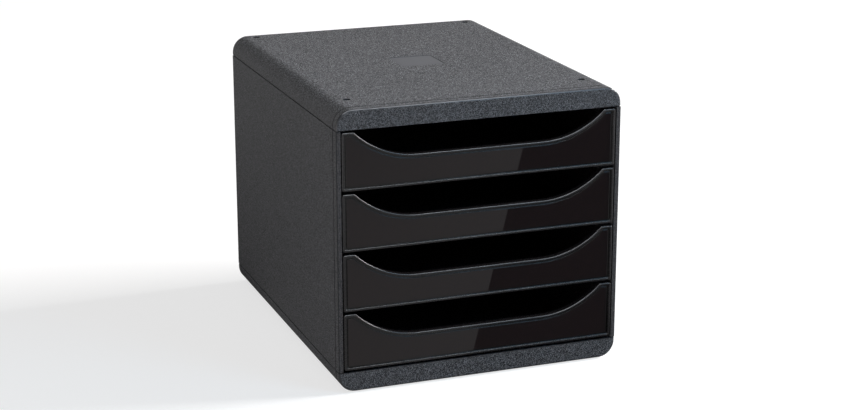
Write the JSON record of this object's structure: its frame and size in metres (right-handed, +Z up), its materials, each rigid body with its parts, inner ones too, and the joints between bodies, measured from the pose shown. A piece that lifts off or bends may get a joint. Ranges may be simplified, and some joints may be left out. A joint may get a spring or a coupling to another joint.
{
  "type": "desktop drawer cabinet",
  "caption": "Closed desktop cabinet for A4 papers, a stack of shallow drawers with curved finger scoops between grained covers and side panels.",
  "frame": {"origin": "centre of the footprint, at the level that the feet stand on", "axes": "+Z up, +X to the right of the person who opens a drawer, fronts facing -Y"},
  "size_m": [0.278, 0.347, 0.267],
  "materials": {
    "casing": "fine spark-eroded grain, dark grey",
    "drawers": "smooth high gloss black",
    "feet": "smooth soft black rubber"
  },
  "bodies": {
    "case": {"top_cover": "casing", "base_cover": "casing", "left_side_panel": "casing", "right_side_panel": "casing", "back_panel": "casing", "foot_front_left": "feet", "foot_front_right": "feet", "foot_back_left": "feet", "foot_back_right": "feet"},
    "drawer_1": {"drawer_1": "drawers"},
    "drawer_2": {"drawer_2": "drawers"},
    "drawer_3": {"drawer_3": "drawers"},
    "drawer_4": {"drawer_4": "drawers"}
  },
  "joints": [
    {"name": "drawer_1_slide", "type": "slide", "parent": "case", "child": "drawer_1", "axis": [0, -1, 0], "range_m": [0, 0.24]},
    {"name": "drawer_2_slide", "type": "slide", "parent": "case", "child": "drawer_2", "axis": [0, -1, 0], "range_m": [0, 0.24]},
    {"name": "drawer_3_slide", "type": "slide", "parent": "case", "child": "drawer_3", "axis": [0, -1, 0], "range_m": [0, 0.24]},
    {"name": "drawer_4_slide", "type": "slide", "parent": "case", "child": "drawer_4", "axis": [0, -1, 0], "range_m": [0, 0.24]}
  ]
}
